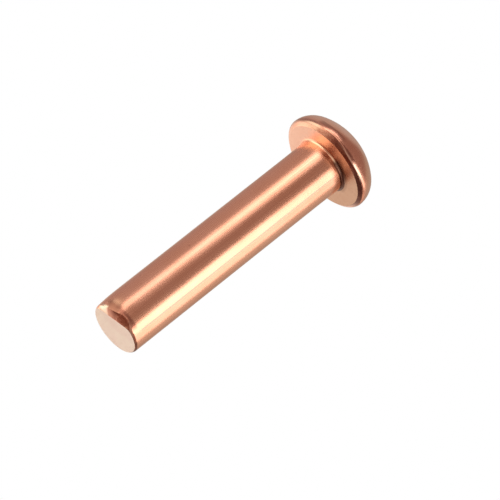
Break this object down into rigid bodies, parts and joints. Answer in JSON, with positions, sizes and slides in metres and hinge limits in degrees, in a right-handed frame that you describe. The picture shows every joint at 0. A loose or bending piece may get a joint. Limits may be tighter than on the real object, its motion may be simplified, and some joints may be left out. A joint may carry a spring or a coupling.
{
  "type": "round head rivet",
  "caption": "Solid copper rivet with a plain drawn shank, a round head with a flat underside and a cropped flat end with one side rolled over.",
  "frame": {"origin": "on the shank's axis, in the plane of the flat cropped end on which the rivet stands", "axes": "+Z along the shank from the cropped end to the head; +X towards the side to which the head is offset; the side of the cropped end that is rolled over faces 126 degrees from +X, towards -Y"},
  "size_m": [0.0109, 0.011, 0.0334],
  "materials": {
    "copper": "bright drawn copper, with fine lines along the shank and a smooth pressed head"
  },
  "bodies": {
    "root": {"rivet": "copper"}
  },
  "joints": []
}
